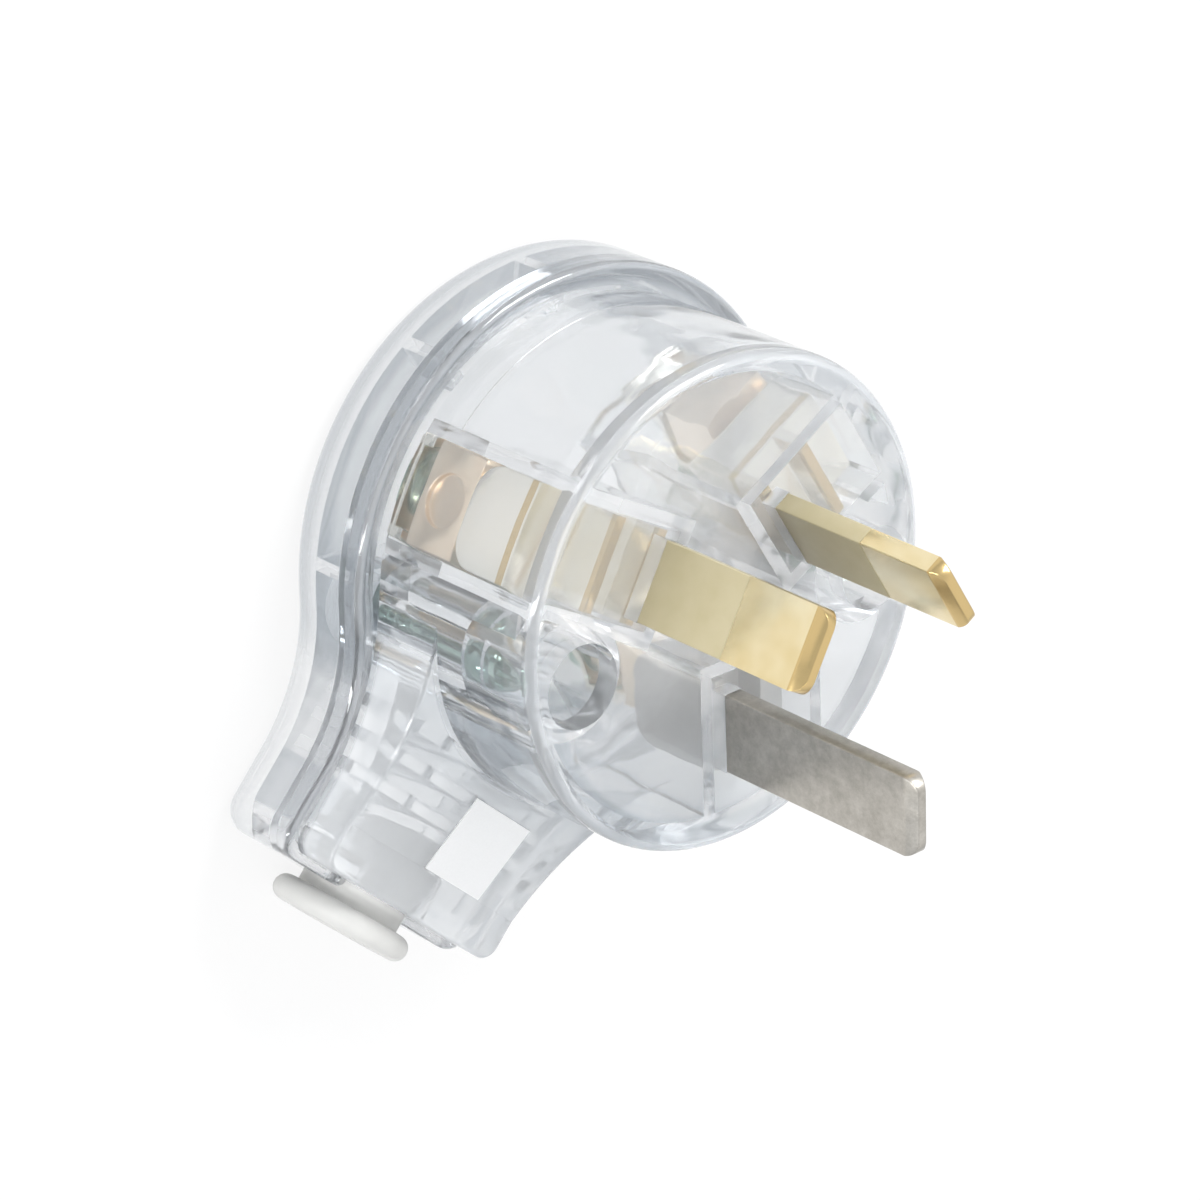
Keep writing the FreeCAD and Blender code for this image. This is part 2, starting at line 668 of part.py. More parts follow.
def blade(body, bottom, top):
    """The contact blade: rounded corners at the tip, then bevels on both broad sides."""
    plan = new_sketch(body, "BladePlan", bottom)
    thin, half = s.blade_thick / 2, s.blade_width / 2
    rectangle(plan, -thin, thin, -half, half)
    bar = pad(body, "Blade", plan, top - bottom)
    reach = top.number
    wide = s.blade_width.number
    soften(body, "TipCorners", bar, lambda shape: corner_edges(shape, reach, wide), s.tip_corner)
    profile = new_sketch(body, "BevelProfile", -(half + OVERLAP), plane="XZ_Plane")
    inner = thin - s.tip_inset
    outer = thin + OVERLAP
    above = top + OVERLAP
    start = top - s.tip_bevel
    polygon(profile, [(inner, top), (thin, start), (outer, start), (outer, above), (inner, above)])
    polygon(profile, [(-inner, top), (-inner, above), (-outer, above), (-outer, start), (-thin, start)])
    pocket(body, "TipBevels", profile, s.blade_width + 2 * OVERLAP, up=True)


def shank(body):
    """The brass behind the face: a rounded body, the web under the blade and a leaf."""
    half = s.shank_width / 2
    inner = -s.shank_sheet / 2
    plan = new_sketch(body, "ShankPlan", s.shank_bottom)
    rectangle(plan, inner, inner + shank_depth, -half, half)
    top = face_inside - s.shank_drop
    block = pad(body, "Shank", plan, top - s.shank_bottom)
    bottom = s.shank_bottom.number
    edge_side = half.number

    def long_corners(shape):
        names = []
        for index, edge in enumerate(shape.Edges, start=1):
            centre = edge.CenterOfMass
            low = abs(centre.z - bottom) < 1e-4
            if low and abs(abs(centre.y) - edge_side) < 1e-4:
                names.append(f"Edge{index}")
        return names

    soften(body, "ShankCorners", block, long_corners, s.shank_corner)
    leaf_inner = s.shank_sheet / 2 + s.leaf_stand
    walls = (("Web", inner), ("Leaf", leaf_inner))
    for name, start in walls:
        wall = new_sketch(body, f"{name}Plan", top - OVERLAP)
        rectangle(wall, start, start + s.shank_sheet, -half, half)
        pad(body, name, wall, shoulder - top + OVERLAP)
    hole = new_sketch(body, "StakePlan", s.shank_bottom)
    circle(hole, s.spigot_radius, x=screw_axis)
    pocket(body, "StakeHole", hole, s.spigot_height, up=True)


def line_pin(name, angle):
    """Active or neutral pin: bare tip, neck under the insulation, shank."""
    body = new_body(f"{name}_pin")
    blade(body, sleeve_top, s.body_depth + s.line_reach)
    neck = new_sketch(body, "NeckPlan", shoulder)
    thin = s.blade_thick / 2 - s.sleeve_wall
    half = s.blade_width / 2 - s.sleeve_wall
    rectangle(neck, -thin, thin, -half, half)
    pad(body, "Neck", neck, sleeve_top - shoulder)
    shank(body)
    stand(body, angle, s.line_circle)
    return body


def earth_pin():
    """Earth pin: a longer plain blade, with the same shank turned beside it."""
    body = new_body("earth_pin")
    blade(body, shoulder, s.body_depth + s.earth_reach)
    shank(body)
    stand(body, earth_angle, s.earth_circle, earth_angle + 90)
    return body


def pin_sleeve(name, angle):
    """Moulded insulation round the pin's neck, flush with the bare tip."""
    boxes = []
    for part, inset in (("Outside", as_size(0.0)), ("Inside", s.sleeve_wall)):
        box = doc.addObject("Part::Box", f"{name}{part}")
        bind(box, "Length", s.blade_thick - 2 * inset)
        bind(box, "Width", s.blade_width - 2 * inset)
        bind(box, "Height", sleeve_top - face_inside)
        bind(box, "Placement.Base.x", inset - s.blade_thick / 2)
        bind(box, "Placement.Base.y", inset - s.blade_width / 2)
        bind(box, "Placement.Base.z", face_inside)
        boxes.append(box)
    sleeve = doc.addObject("Part::Cut", f"{name}_sleeve")
    sleeve.Base, sleeve.Tool = boxes
    sleeve.Label = f"{name}_sleeve"
    stand(sleeve, angle, s.line_circle)
    return sleeve


def terminal_block(name):
    """Brass block under the shank: threaded from below, staked to the shank above."""
    body = new_body(f"{name}_terminal")
    half = s.shank_width / 2
    plan = new_sketch(body, "BlockPlan", block_bottom)
    rectangle(plan, block_start, block_start + s.block_depth, -half, half)
    pad(body, "Block", plan, s.block_height)
    spigot = new_sketch(body, "SpigotPlan", s.shank_bottom - OVERLAP)
    circle(spigot, s.spigot_radius, x=screw_axis)
    pad(body, "Spigot", spigot, s.spigot_height + OVERLAP)
    thread = new_sketch(body, "ThreadPlan", block_bottom)
    circle(thread, s.thread_radius + s.thread_gap, x=screw_axis)
    pocket(body, "ThreadHole", thread, s.thread_depth + s.thread_gap, up=True)
    dimple = new_sketch(body, "DimplePlan", block_start + s.block_depth, plane="YZ_Plane")
    circle(dimple, s.block_dimple, y=block_bottom + s.block_height / 2)
    pocket(body, "Dimple", dimple, s.dimple_depth)
    return body


def clamp_plate(name):
    """Plate under the screw head, with its two ends turned up towards the block."""
    body = new_body(f"{name}_clamp_plate")
    half = s.shank_width / 2
    end = block_start + s.block_depth
    plan = new_sketch(body, "PlatePlan", clamp_bottom)
    rectangle(plan, block_start, end, -half, half)
    pad(body, "Plate", plan, s.clamp_thick)
    sides = ((half - s.clamp_thick, half), (-half, s.clamp_thick - half))
    for index, (low, high) in enumerate(sides, start=1):
        lug = new_sketch(body, f"LugPlan{index}", clamp_top - OVERLAP)
        rectangle(lug, block_start, end, low, high)
        pad(body, f"Lug{index}", lug, s.clamp_lip + OVERLAP)
    hole = new_sketch(body, "HolePlan", clamp_bottom)
    circle(hole, s.thread_radius + s.thread_gap, x=screw_axis)
    pocket(body, "Hole", hole, s.clamp_thick, up=True)
    return body


def terminal_screw(name):
    """Slotted screw, head down, through the clamp plate into the block."""
    body = new_body(f"{name}_terminal_screw")
    profile = new_sketch(body, "ScrewProfile", plane="XZ_Plane", shift=(screw_axis, 0.0))
    low = clamp_bottom - s.head_height
    polygon(profile, [
        (0.0, low),
        (s.head_flat, low),
        (s.head_radius, low + s.head_bevel),
        (s.head_radius, clamp_bottom),
        (s.thread_radius, clamp_bottom),
        (s.thread_radius, block_bottom + s.thread_depth - s.thread_taper),
        (s.thread_tip, block_bottom + s.thread_depth),
        (0.0, block_bottom + s.thread_depth),
    ])
    revolve(body, "Screw", profile, "V_Axis")
    slot = new_sketch(body, "SlotPlan", low)
    reach = s.head_radius + OVERLAP
    thin = s.head_slot / 2
    rectangle(slot, screw_axis - reach, screw_axis + reach, -thin, thin)
    pocket(body, "Slot", slot, s.slot_depth, up=True)
    return body


def assembly_screw(side, x, y):
    """Cross-head screw that draws the cover to the base."""
    body = new_body(f"assembly_screw_{side}")
    profile = new_sketch(body, "ScrewProfile", plane="XZ_Plane")
    polygon(profile, [
        (0.0, screw_end),
        (s.screw_point, screw_end),
        (s.screw_radius, screw_end + s.screw_taper),
        (s.screw_radius, s.screw_seat),
        (s.screw_head, s.screw_seat),
        (s.screw_head, s.screw_seat + s.screw_edge),
        (s.screw_shoulder, screw_top - s.screw_edge / 2),
        (s.screw_flat, screw_top),
        (0.0, screw_top),
    ])
    revolve(body, "Screw", profile, "V_Axis")
    thin = s.cross_width / 2
    arms = ((s.cross_reach, thin), (thin, s.cross_reach))
    for index, (wide, tall) in enumerate(arms, start=1):
        cross = new_sketch(body, f"CrossPlan{index}", screw_top)
        rectangle(cross, -wide, wide, -tall, tall)
        pocket(body, f"Cross{index}", cross, s.cross_depth)
    bind(body, "Placement.Base.x", x)
    bind(body, "Placement.Base.y", y)
    return body


def cord_grommet():
    """Soft bush: outer disc, neck in the end wall, collar behind it, inner tube."""
    body = new_body("cord_grommet")
    profile = new_sketch(body, "GrommetProfile", plane="YZ_Plane")
    disc_near = -(tail_length + s.disc_stand)
    disc_far = disc_near - s.disc_thick
    disc_radius = grommet_neck + s.disc_step
    tube = (s.cord_radius + grommet_neck) / 2
    polygon(profile, [
        (disc_far, s.cord_radius),
        (-tube_end, s.cord_radius),
        (-tube_end, tube),
        (-collar_start, tube),
        (-collar_start, collar_radius),
        (-collar_end, collar_radius),
        (-collar_end, grommet_neck),
        (disc_near, grommet_neck),
        (disc_near, disc_radius),
        (disc_far + s.disc_round, disc_radius),
        (disc_far, disc_radius - s.disc_round),
    ])
    revolve(body, "Bush", profile, "H_Axis")
    bind(body, "Placement.Base.z", s.seam_height)
    return body


def label():
    """Blank paper label, flat on the slope of the raised tail."""
    sticker = doc.addObject("Part::Box", "label")
    sticker.Label = "label"
    bind(sticker, "Length", s.label_width)
    bind(sticker, "Width", s.label_length)
    bind(sticker, "Height", s.label_thick)
    bind(sticker, "Placement.Base.x", s.label_aside - s.label_width / 2)
    bind(sticker, "Placement.Base.y", s.label_gap - ramp_start)
    bind(sticker, "Placement.Base.z", s.neck_height + s.label_gap * s.ramp_rise)
    sticker.Placement.Rotation = FreeCAD.Rotation(Vector(1, 0, 0), 0)
    bind(sticker, "Placement.Rotation.Axis.x", 1)
    bind(sticker, "Placement.Rotation.Axis.z", 0)
    bind(sticker, "Placement.Rotation.Angle", slope_angle(s.ramp_rise))
    return sticker


def build():
    pieces = [base_housing(), back_cover(), cord_grommet(), label()]
    for name, angle in line_angles.items():
        pieces += [line_pin(name, angle), pin_sleeve(name, angle)]
    pieces.append(earth_pin())
    spots = {name: (angle, s.line_circle, angle) for name, angle in line_angles.items()}
    spots["earth"] = (earth_angle, s.earth_circle, earth_angle + 90)
    for name, (angle, radius, turn) in spots.items():
        for piece in (terminal_block(name), clamp_plate(name), terminal_screw(name)):
            stand(piece, angle, radius, turn)
            pieces.append(piece)
    for side, angle, x, y in screw_places():
        pieces.append(assembly_screw(side, x, y))
    return pieces


def check(pieces):
    for item in doc.Objects:
        if any(word in item.State for word in ("Invalid", "Error")):
            raise RuntimeError(f"{item.Label}: {item.State}")
    for piece in pieces:
        if piece.Shape.isNull() or not piece.Shape.isValid():
            raise RuntimeError(f"{piece.Label} has no valid shape")


pieces = build()
doc.recompute()
check(pieces)
for piece in pieces:
    if piece.TypeId == "PartDesign::Body":
        for line in idle_steps(piece):
            print(line)
os.makedirs("parts", exist_ok=True)
for piece in pieces:
    piece.Shape.exportStep(f"parts/{piece.Label}.step")
    solids = len(piece.Shape.Solids)
    print(f"{piece.Label}: {solids} solid, {piece.Shape.Volume:.1f} mm3")
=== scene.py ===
# %% [markdown]
# # A clear Type I plug
#
# This lesson dresses the CAD model of a rewirable plug: two clear plastic shells that hold
# brass and nickel pins, terminal blocks, screws and a soft cord bush. The CAD solids come in
# as a fixed frame in metres, so every new piece is made straight in its final place and is
# never moved afterwards. The size of the model is kept.

# %% The frame
import math

import bpy
import bmesh
import numpy as np
from mathutils import Matrix, Vector


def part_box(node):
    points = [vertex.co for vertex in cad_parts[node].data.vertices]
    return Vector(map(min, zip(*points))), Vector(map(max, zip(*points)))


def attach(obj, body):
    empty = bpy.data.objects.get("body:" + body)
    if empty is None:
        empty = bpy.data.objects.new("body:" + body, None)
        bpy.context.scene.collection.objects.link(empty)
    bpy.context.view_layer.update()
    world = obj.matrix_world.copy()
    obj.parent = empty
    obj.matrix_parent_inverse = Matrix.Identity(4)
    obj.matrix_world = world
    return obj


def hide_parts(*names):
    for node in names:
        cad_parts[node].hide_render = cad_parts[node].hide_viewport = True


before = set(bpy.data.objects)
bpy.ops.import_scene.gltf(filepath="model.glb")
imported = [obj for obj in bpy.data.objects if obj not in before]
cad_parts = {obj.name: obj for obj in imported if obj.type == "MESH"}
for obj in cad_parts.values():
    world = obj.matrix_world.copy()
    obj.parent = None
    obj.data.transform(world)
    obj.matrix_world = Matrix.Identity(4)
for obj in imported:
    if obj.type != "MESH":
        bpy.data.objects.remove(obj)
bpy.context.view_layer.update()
MM = 0.001
LINES = ("active", "neutral", "earth")
print("nodes:", sorted(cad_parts))

# %% [markdown]
# The camera stands where the photograph was taken from: to the left of the plug, as high as
# it is far, and rolled so that the pins point right. A target and an angle can't say a rolled
# view simply, so its three directions are written out. A long lens keeps the pins parallel,
# as they are on the real plug.

# %% The camera
CAMERA_PLACE = Vector((-0.29379, -0.04157, 0.29696))
CAMERA_RIGHT = Vector((0.572187, 0.490015, 0.657637))
CAMERA_UP = Vector((-0.399772, 0.866806, -0.298042))
CAMERA_BACK = Vector((-0.716089, -0.092369, 0.691870))
LENS = 164.63

lens = bpy.data.cameras.new("lens")
lens.lens = LENS
lens.sensor_width = 36.0
camera = bpy.data.objects.new("camera", lens)
turn = Matrix((CAMERA_RIGHT, CAMERA_UP, CAMERA_BACK)).transposed().to_4x4()
camera.matrix_world = Matrix.Translation(CAMERA_PLACE) @ turn
bpy.context.scene.collection.objects.link(camera)
bpy.context.scene.camera = camera
print("camera", [round(value, 3) for value in camera.location])

# %% [markdown]
# The Standard view shows a colour as it is written. A ray crosses a dozen clear walls before
# it leaves this plug, and a path that is cut short comes out black, so the bounces through
# glass are raised well over Blender's own number. Matt surfaces need only a few.

# %% The colour view and the bounces
CLEAR_BOUNCES, MATT_BOUNCES = 28, 6

bpy.context.scene.view_settings.view_transform = "Standard"
bpy.context.scene.cycles.max_bounces = CLEAR_BOUNCES
bpy.context.scene.cycles.transmission_bounces = CLEAR_BOUNCES
bpy.context.scene.cycles.glossy_bounces = CLEAR_BOUNCES
bpy.context.scene.cycles.diffuse_bounces = MATT_BOUNCES
print("bounces", CLEAR_BOUNCES, "through glass")

# %% [markdown]
# Shader maths could be wired node by node, but it reads better as plain expressions. `Sock`
# wraps one output of a node tree, and the arithmetic signs on it add Math nodes. `node` makes
# any other node from its settings, which are set first, and the values or links of its
# sockets.

# %% Shader expressions


class Sock:
    """One socket of a node tree, on which arithmetic adds Math nodes."""

    def __init__(self, tree, socket):
        self.tree = tree
        self.socket = socket

    def _math(self, operation, first, second):
        settings = {"operation": operation}
        return node(self.tree, "ShaderNodeMath", settings, {0: first, 1: second})

    def __add__(self, other):
        return self._math("ADD", self, other)

    def __radd__(self, other):
        return self._math("ADD", other, self)

    def __sub__(self, other):
        return self._math("SUBTRACT", self, other)

    def __rsub__(self, other):
        return self._math("SUBTRACT", other, self)

    def __mul__(self, other):
        return self._math("MULTIPLY", self, other)

    def __rmul__(self, other):
        return self._math("MULTIPLY", other, self)

    def __pow__(self, other):
        return self._math("POWER", self, other)


def node(tree, kind, settings=None, inputs=None, output=0):
    """Make a node and give one of its outputs, or None if it has no outputs."""
    made = tree.nodes.new(kind)
    for name, value in (settings or {}).items():
        setattr(made, name, value)
    for name, value in (inputs or {}).items():
        socket = made.inputs[name]
        if isinstance(value, Sock):
            tree.links.new(value.socket, socket)
        else:
            socket.default_value = value
    return Sock(tree, made.outputs[output]) if len(made.outputs) else None


print("shader expressions ready")

# %% [markdown]
# Every finish uses the same few patterns. They read Object coordinates, which stay in metres,
# so a scale of 1000 means a feature of about a millimetre. Image textures could hold scratches
# and stains too, but noise has no seams and needs no unwrapping.

# %% Patterns


def blend_colours(tree, factor, first, second):
    """The colour first * (1 - factor) + second * factor, from a Mix node."""
    return node(
        tree, "ShaderNodeMix", {"data_type": "RGBA"}, {0: factor, 6: first, 7: second}, output=2
    )


def object_noise(tree, scale, detail=3.0, roughness=0.5, stretch=(1.0, 1.0, 1.0)):
    """Noise in the piece's own space, `scale` features to the metre."""
    place = node(tree, "ShaderNodeTexCoord", output="Object")
    mapped = node(tree, "ShaderNodeMapping", {}, {"Vector": place, "Scale": stretch})
    return node(
        tree, "ShaderNodeTexNoise", {},
        {"Vector": mapped, "Scale": scale, "Detail": detail, "Roughness": roughness},
        output="Fac",
    )


def bumped(tree, height, strength, distance):
    """Normals tilted as if `height` times `distance` metres stood on the surface."""
    return node(
        tree, "ShaderNodeBump", {},
        {"Height": height, "Strength": strength, "Distance": distance}, output="Normal",
    )


print("patterns ready")

# %% [markdown]
# A finish is one Principled shader with some detail of its own. What is the same all over is
# written on the shader's own sockets, and only what changes from place to place is linked.

# %% A finish


def finish_material(name, constants, build):
    """A material whose Principled sockets take `constants`, then what `build(tree)` returns."""
    material = bpy.data.materials.new(name)
    material.use_nodes = True
    tree = material.node_tree
    shader = tree.nodes["Principled BSDF"]
    for socket, value in constants.items():
        shader.inputs[socket].default_value = value
    for socket, value in build(tree).items():
        tree.links.new(value.socket, shader.inputs[socket])
    return material


print("finishes ready")

# %% [markdown]
# Some finishes depend on where a point is on the plug. Painting masks by hand would do it
# once, but a formula follows the shape. Both shells are drawn round the barrel's axis, so the
# distance from that axis and the height over the back say which wall a point is on.

# %% Where a point is
FLANGE_RADIUS, BARREL_RADIUS, TAIL_HALF = 21.5, 19.4, 11.3
FLANGE_TOP, TAIL_END = 8.0, 31.9
FACE_INSIDE, FACE_TOP = 22.2, 25.0


def above(tree, level):
    """0 below `level` mm over the plug's back, 1 above it."""
    place = node(tree, "ShaderNodeTexCoord", output="Object")
    height = node(tree, "ShaderNodeSeparateXYZ", {}, {"Vector": place}, output="Z")
    settings = {"operation": "GREATER_THAN"}
    return node(tree, "ShaderNodeMath", settings, {0: height, 1: level * MM})


def beyond(tree, value, low, high):
    """0 where `value` is below `low` mm, 1 above `high` mm, smooth between."""
    return node(
        tree, "ShaderNodeMapRange", {"interpolation_type": "SMOOTHSTEP"},
        {"Value": value, "From Min": low * MM, "From Max": high * MM},
    )


def plug_place(tree):
    """Four distances in metres: from the barrel's axis, from the middle plane, y and z."""
    place = node(tree, "ShaderNodeTexCoord", output="Object")
    x, y, z = (
        node(tree, "ShaderNodeSeparateXYZ", {}, {"Vector": place}, output=axis) for axis in "XYZ"
    )
    aside = node(tree, "ShaderNodeMath", {"operation": "ABSOLUTE"}, {0: x})
    return (x * x + y * y) ** 0.5, aside, y, z


print("places ready")

# %% [markdown]
# Clear polycarbonate bends light strongly, which draws its own edges, but it isn't glass. It
# has a cool tint, which grows where a wall is seen through its whole height. Painted shade
# darkens it further where a wall is seen slantwise, on the lower side where the table's shadow
# shows through, and on the flange's closing wall, darkest at its foot on the table.
# Absorption inside the plastic could give that tint. A base colour that depends on the wall
# does it here, because the export keeps a base colour and each wall can be matched alone.

# %% The tint and painted shade of each clear wall
THIN_TINT = (0.960, 0.965, 0.972, 1.0)
SIDE_TINT = (0.900, 0.915, 0.930, 1.0)
LOW_SIDE_SHADOW_TINT = (0.68, 0.72, 0.755, 1.0)
FLANGE_WALL_SHADE = (0.62, 0.645, 0.67, 1.0)
BACK_RIM_SHADE = (0.40, 0.43, 0.46, 1.0)
SLANT_SHADE = (0.48, 0.52, 0.56, 1.0)
FLANK_SHARE, BACK_RIM = 0.45, 2.5

# Where one finish gives way to the next, in mm: two values of y, then three of z.
TAIL_BLEND, LOW_SIDE_BLEND = (-19.0, -15.0), (-15.0, -5.0)
ROOF_BLEND, FOOT_BLEND, BACK_BLEND = (12.0, 14.0), (0.8, 1.8), (1.5, 3.0)


def outer_wall(tree):
    """Where the flange's wall takes painted shade: 1 on the wall that closes the flange, about
    half on the tail's flanks, 0 further in.

    Near the back the wall is taken `BACK_RIM` mm wider, because it is seen from its foot.
    """
    reach, aside, y, z = plug_place(tree)
    body = beyond(tree, y, *TAIL_BLEND)
    inset = (1.0 - beyond(tree, z, *FOOT_BLEND)) * (BACK_RIM * MM)
    ring = beyond(tree, reach + inset, FLANGE_RADIUS - 2.0, FLANGE_RADIUS - 1.0)
    flank = beyond(tree, aside + inset, TAIL_HALF - 1.9, TAIL_HALF - 1.0)
    return ring * body + FLANK_SHARE * flank * (1.0 - body)


def clear_tint_and_shade(tree):
    """Own tint on thin walls and the barrel's side, then painted shade: low side, flange's wall,
    slant views.
    """
    reach, _, y, z = plug_place(tree)
    barrel = beyond(tree, reach, BARREL_RADIUS - 2.6, BARREL_RADIUS - 2.1)
    # The lower side's darker tint is a painted shadow of the table, seen through the wall.
    side = blend_colours(tree, beyond(tree, y, *LOW_SIDE_BLEND), LOW_SIDE_SHADOW_TINT, SIDE_TINT)
    tail = (1.0 - beyond(tree, y, *TAIL_BLEND)) * (1.0 - beyond(tree, z, *ROOF_BLEND))
    wall = blend_colours(tree, barrel * (1.0 - tail), THIN_TINT, side)
    # Painted shade: the flange's closing wall and the tail's flanks are darker, darkest at the
    # back rim on the table.
    closing = blend_colours(tree, beyond(tree, z, *BACK_BLEND), BACK_RIM_SHADE, FLANGE_WALL_SHADE)
    wall = blend_colours(tree, outer_wall(tree), wall, closing)
    # Painted shade: walls seen slantwise are darker, standing in for the dark rims that bent
    # light draws.
    slant = node(tree, "ShaderNodeLayerWeight", {}, {"Blend": 0.5}, output="Facing")
    return blend_colours(tree, slant ** 2.2, wall, SLANT_SHADE)


print("tints ready")

# %% [markdown]
# Two more things keep the plastic from looking like glass. It is a little hazy, so a small
# share of it scatters light, and its moulded walls are never quite flat. Handling dulls the
# rounded edges first, and the tail's roof and the face have a softer polish than the barrel.
# On the rounded edges the whitish dull share is also a painted highlight along the rims.
# A second, opaque shader is mixed in there by a small share, which a bake keeps.

# %% The clear plastic
# The edge share is partly dulling and partly a painted highlight along the rims.
EDGE_DULL_HIGHLIGHT, ROOF_DULL, FACE_DULL = 0.15, 0.30, 0.08
DULL_HIGHLIGHT_COLOUR = (0.90, 0.92, 0.94, 1.0)
WAVE_STRENGTH, WAVE_HEIGHT = 0.10, 0.0012


def dull_and_highlight_share(tree):
    """How dull a point is: a share for the rounded edges, where it is also a painted highlight,
    the tail's roof and the face.

    Each pair of numbers is where that part starts and where it is full, in mm.
    """
    reach, _, y, z = plug_place(tree)
    barrel = beyond(tree, reach, BARREL_RADIUS - 1.0, BARREL_RADIUS - 0.6)
    barrel = barrel * beyond(tree, z, FACE_TOP - 0.9, FACE_TOP - 0.6)
    flange = beyond(tree, reach, FLANGE_RADIUS - 0.6, FLANGE_RADIUS - 0.4)
    flange = flange * beyond(tree, z, FLANGE_TOP - 0.5, FLANGE_TOP - 0.3)
    # On the rounded edges the whitish share also paints the highlight along the rims.
    edges = barrel + flange * beyond(tree, y, -16.0, -14.0)
    roof = (1.0 - beyond(tree, y, -16.0, -12.0)) * beyond(tree, z, FLANGE_TOP, FLANGE_TOP + 1.0)
    roof = roof * beyond(tree, reach, BARREL_RADIUS + 0.1, BARREL_RADIUS + 0.6)
    face = beyond(tree, z, FACE_INSIDE - 0.4, FACE_INSIDE)
    return EDGE_DULL_HIGHLIGHT * edges + ROOF_DULL * roof + FACE_DULL * face


def build_clear(tree):
    waves = object_noise(tree, 180.0, detail=1.5)
    scuffs = object_noise(tree, 2600.0, detail=4.0, roughness=0.7)
    return {
        "Base Color": clear_tint_and_shade(tree),
        "Roughness": 0.045 + 0.05 * scuffs ** 3.0,
        "Normal": bumped(tree, waves, WAVE_STRENGTH, WAVE_HEIGHT),
    }


CLEAR = finish_material(
    "clear_polycarbonate", {"Transmission Weight": 0.93, "IOR": 1.52}, build_clear
)
tree = CLEAR.node_tree
glass = Sock(tree, tree.nodes["Principled BSDF"].outputs["BSDF"])
dull_highlight_shader = node(
    tree, "ShaderNodeBsdfPrincipled", {}, {"Base Color": DULL_HIGHLIGHT_COLOUR, "Roughness": 0.3}
)
edged = node(tree, "ShaderNodeMixShader", {}, {0: dull_and_highlight_share(tree), 1: glass, 2: dull_highlight_shader})
tree.links.new(edged.socket, tree.nodes["Material Output"].inputs["Surface"])
print("made", CLEAR.name)

# %% [markdown]
# The line pins are cut from rolled brass strip. Outside the face it is deep yellow with pale
# worn patches, and its bevelled ends are painted darker, a painted shade for facets turned
# from the light. Inside the plug nobody touches it, so it is pale and clean, with darker bands
# of painted shade at its folds. A different material for each part would split the pin, so one
# material changes with the height over the back.

# %% Rolled brass
BEVEL_FOOT = 40.8
# Heights in mm of the bands of painted shade at the folds.
LOWER_FOLD, UPPER_FOLD = (18.7, 19.4), (21.6, FACE_INSIDE)
BRASS_SHADE = (0.66, 0.49, 0.23, 1.0)
HANDLED_DEEP, HANDLED_PALE = (0.77, 0.61, 0.31, 1.0), (0.93, 0.83, 0.57, 1.0)
FRESH_DEEP, FRESH_PALE = (0.92, 0.87, 0.76, 1.0), (0.97, 0.94, 0.87, 1.0)


def band(tree, low, high):
    """1 between two heights in mm, 0 elsewhere."""
    return above(tree, low) - above(tree, high)


def build_brass(tree):
    lines = object_noise(tree, 900.0, detail=2.0, stretch=(1.0, 1.0, 0.08))
    patches = object_noise(tree, 260.0, detail=2.0)
    worn = 0.1 + 0.9 * above(tree, FACE_INSIDE)
    blotches = (patches - 0.5) * 1.8 + 0.5
    handled = blend_colours(tree, blotches, HANDLED_DEEP, HANDLED_PALE)
    fresh = blend_colours(tree, patches, FRESH_DEEP, FRESH_PALE)
    colour = blend_colours(tree, above(tree, FACE_INSIDE), fresh, handled)
    fold_shade = band(tree, *LOWER_FOLD) + band(tree, *UPPER_FOLD)
    # Painted shade: darker brass on the fold bands and on the bevelled ends.
    colour = blend_colours(tree, fold_shade + above(tree, BEVEL_FOOT), colour, BRASS_SHADE)
    return {
        "Base Color": colour,
        "Roughness": 0.18 + 0.12 * lines * worn,
        "Normal": bumped(tree, lines * worn, 0.04, 0.0002),
    }


METAL = {"Metallic": 1.0}
BRASS = finish_material("rolled_brass", METAL, build_brass)
print("made", BRASS.name)

# %% [markdown]
# The earth pin is nickel plated, which makes it grey and satin rather than bright. Its blade
# is mottled where plugging has rubbed it, and its shank inside the plug is even. One noise
# with much fine detail gives the mottle, and its contrast is raised outside the face only.

# %% Satin nickel
RUBBED_DARK, RUBBED_PALE = (0.28, 0.26, 0.225, 1.0), (0.68, 0.65, 0.60, 1.0)
EVEN_DARK, EVEN_PALE = (0.56, 0.54, 0.51, 1.0), (0.68, 0.67, 0.65, 1.0)


def build_nickel(tree):
    lines = object_noise(tree, 1100.0, detail=4.0, stretch=(1.0, 1.0, 0.06))
    patches = object_noise(tree, 900.0, detail=7.0, roughness=0.78)
    mottle = (patches - 0.5) * 1.3 + 0.5
    outside = blend_colours(tree, mottle, RUBBED_DARK, RUBBED_PALE)
    inside = blend_colours(tree, patches, EVEN_DARK, EVEN_PALE)
    return {
        "Base Color": blend_colours(tree, above(tree, FACE_INSIDE), inside, outside),
        "Roughness": 0.27 + 0.18 * lines,
        "Normal": bumped(tree, lines, 0.18, 0.0002),
    }


NICKEL = finish_material("satin_nickel", METAL, build_nickel)
print("made", NICKEL.name)

# %% [markdown]
# All the screws are steel with a greenish zinc plate, which is bright but stained. The
# terminal blocks are milled from a redder brass, and the cutter leaves fine lines across
# them. Both are plain metals, so two colours and one noise each are enough.

# %% Zinc plate and milled brass
ZINC_STAINED, ZINC_BRIGHT = (0.20, 0.36, 0.27, 1.0), (0.74, 0.82, 0.77, 1.0)
MILLED_DEEP, MILLED_PALE = (0.96, 0.74, 0.54, 1.0), (1.00, 0.88, 0.70, 1.0)


def build_zinc(tree):
    stains = object_noise(tree, 620.0, detail=3.0)
    return {
        "Base Color": blend_colours(tree, stains, ZINC_STAINED, ZINC_BRIGHT),
        "Roughness": 0.08 + 0.12 * stains,
        "Normal": bumped(tree, stains, 0.10, 0.0002),
    }


